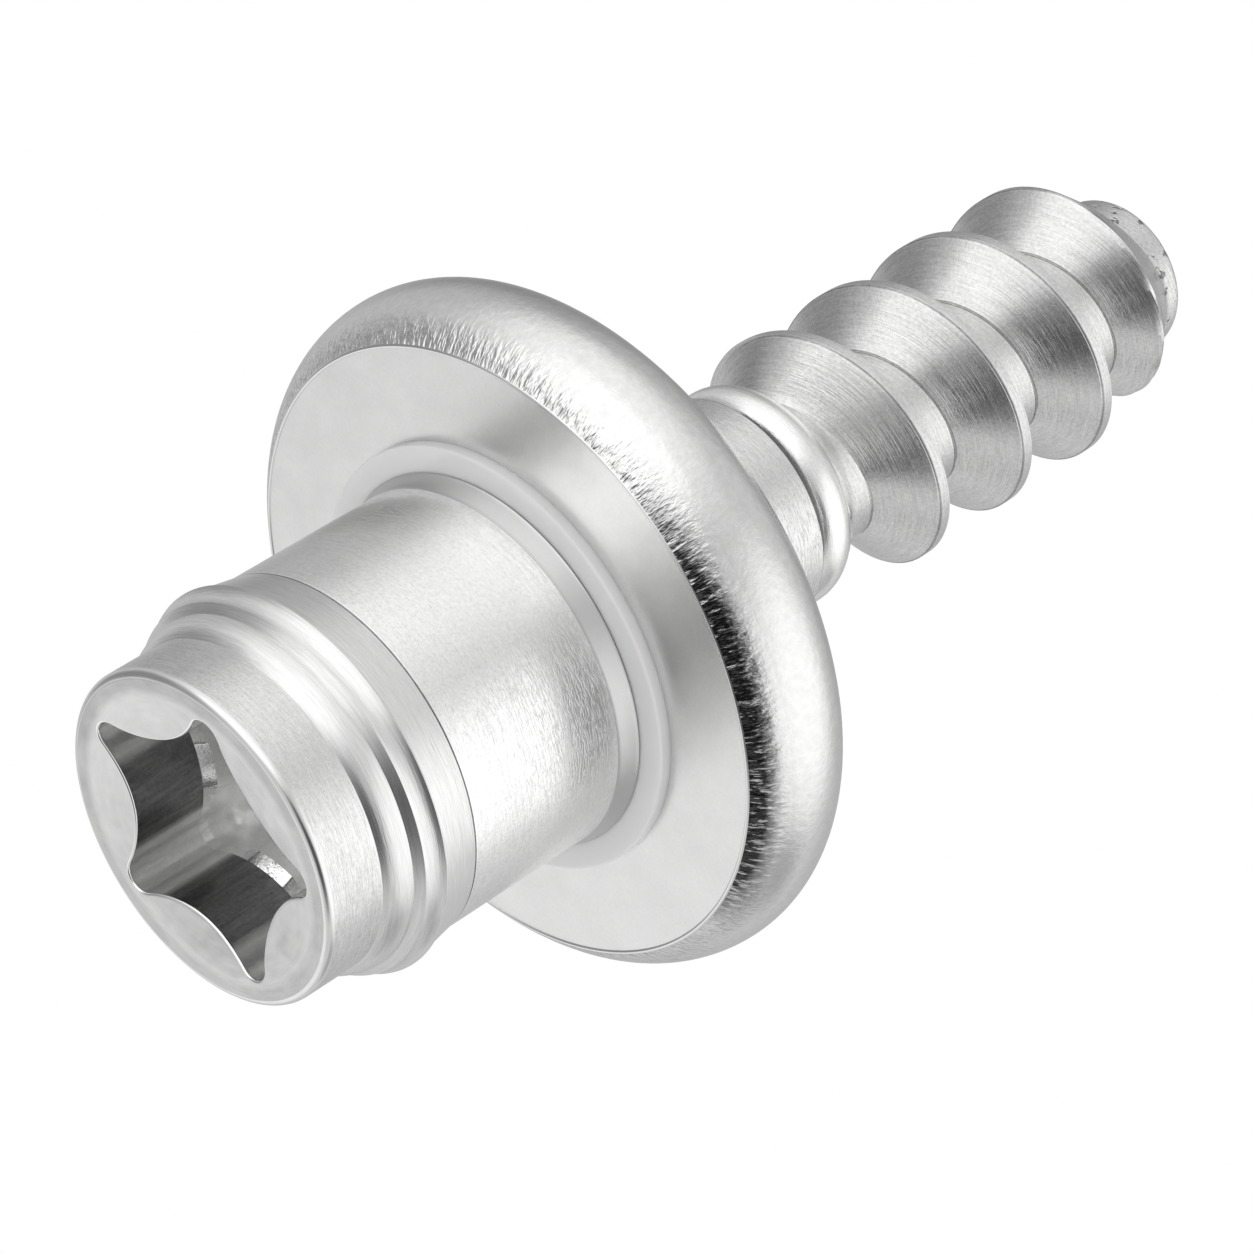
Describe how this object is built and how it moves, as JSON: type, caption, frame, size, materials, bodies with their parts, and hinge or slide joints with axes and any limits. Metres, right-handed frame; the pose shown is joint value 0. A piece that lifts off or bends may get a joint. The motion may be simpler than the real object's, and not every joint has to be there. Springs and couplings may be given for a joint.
{
  "type": "captive panel screw",
  "caption": "Flanged shoulder screw with a lobed socket head, a retaining collar, a plastic ring and a coarse thread for plastic.",
  "frame": {"origin": "centre of the flat face of the head, on which the screw stands", "axes": "+Z along the screw's axis, from the head to the thread's tip; the axis is the axis of every turned surface"},
  "size_m": [0.0166, 0.0166, 0.0307],
  "materials": {
    "bright_steel": "bright plated steel, turned and tumbled",
    "natural_plastic": "natural nylon, smooth"
  },
  "bodies": {
    "root": {"screw": "bright_steel", "plastic_ring": "natural_plastic"}
  },
  "joints": []
}
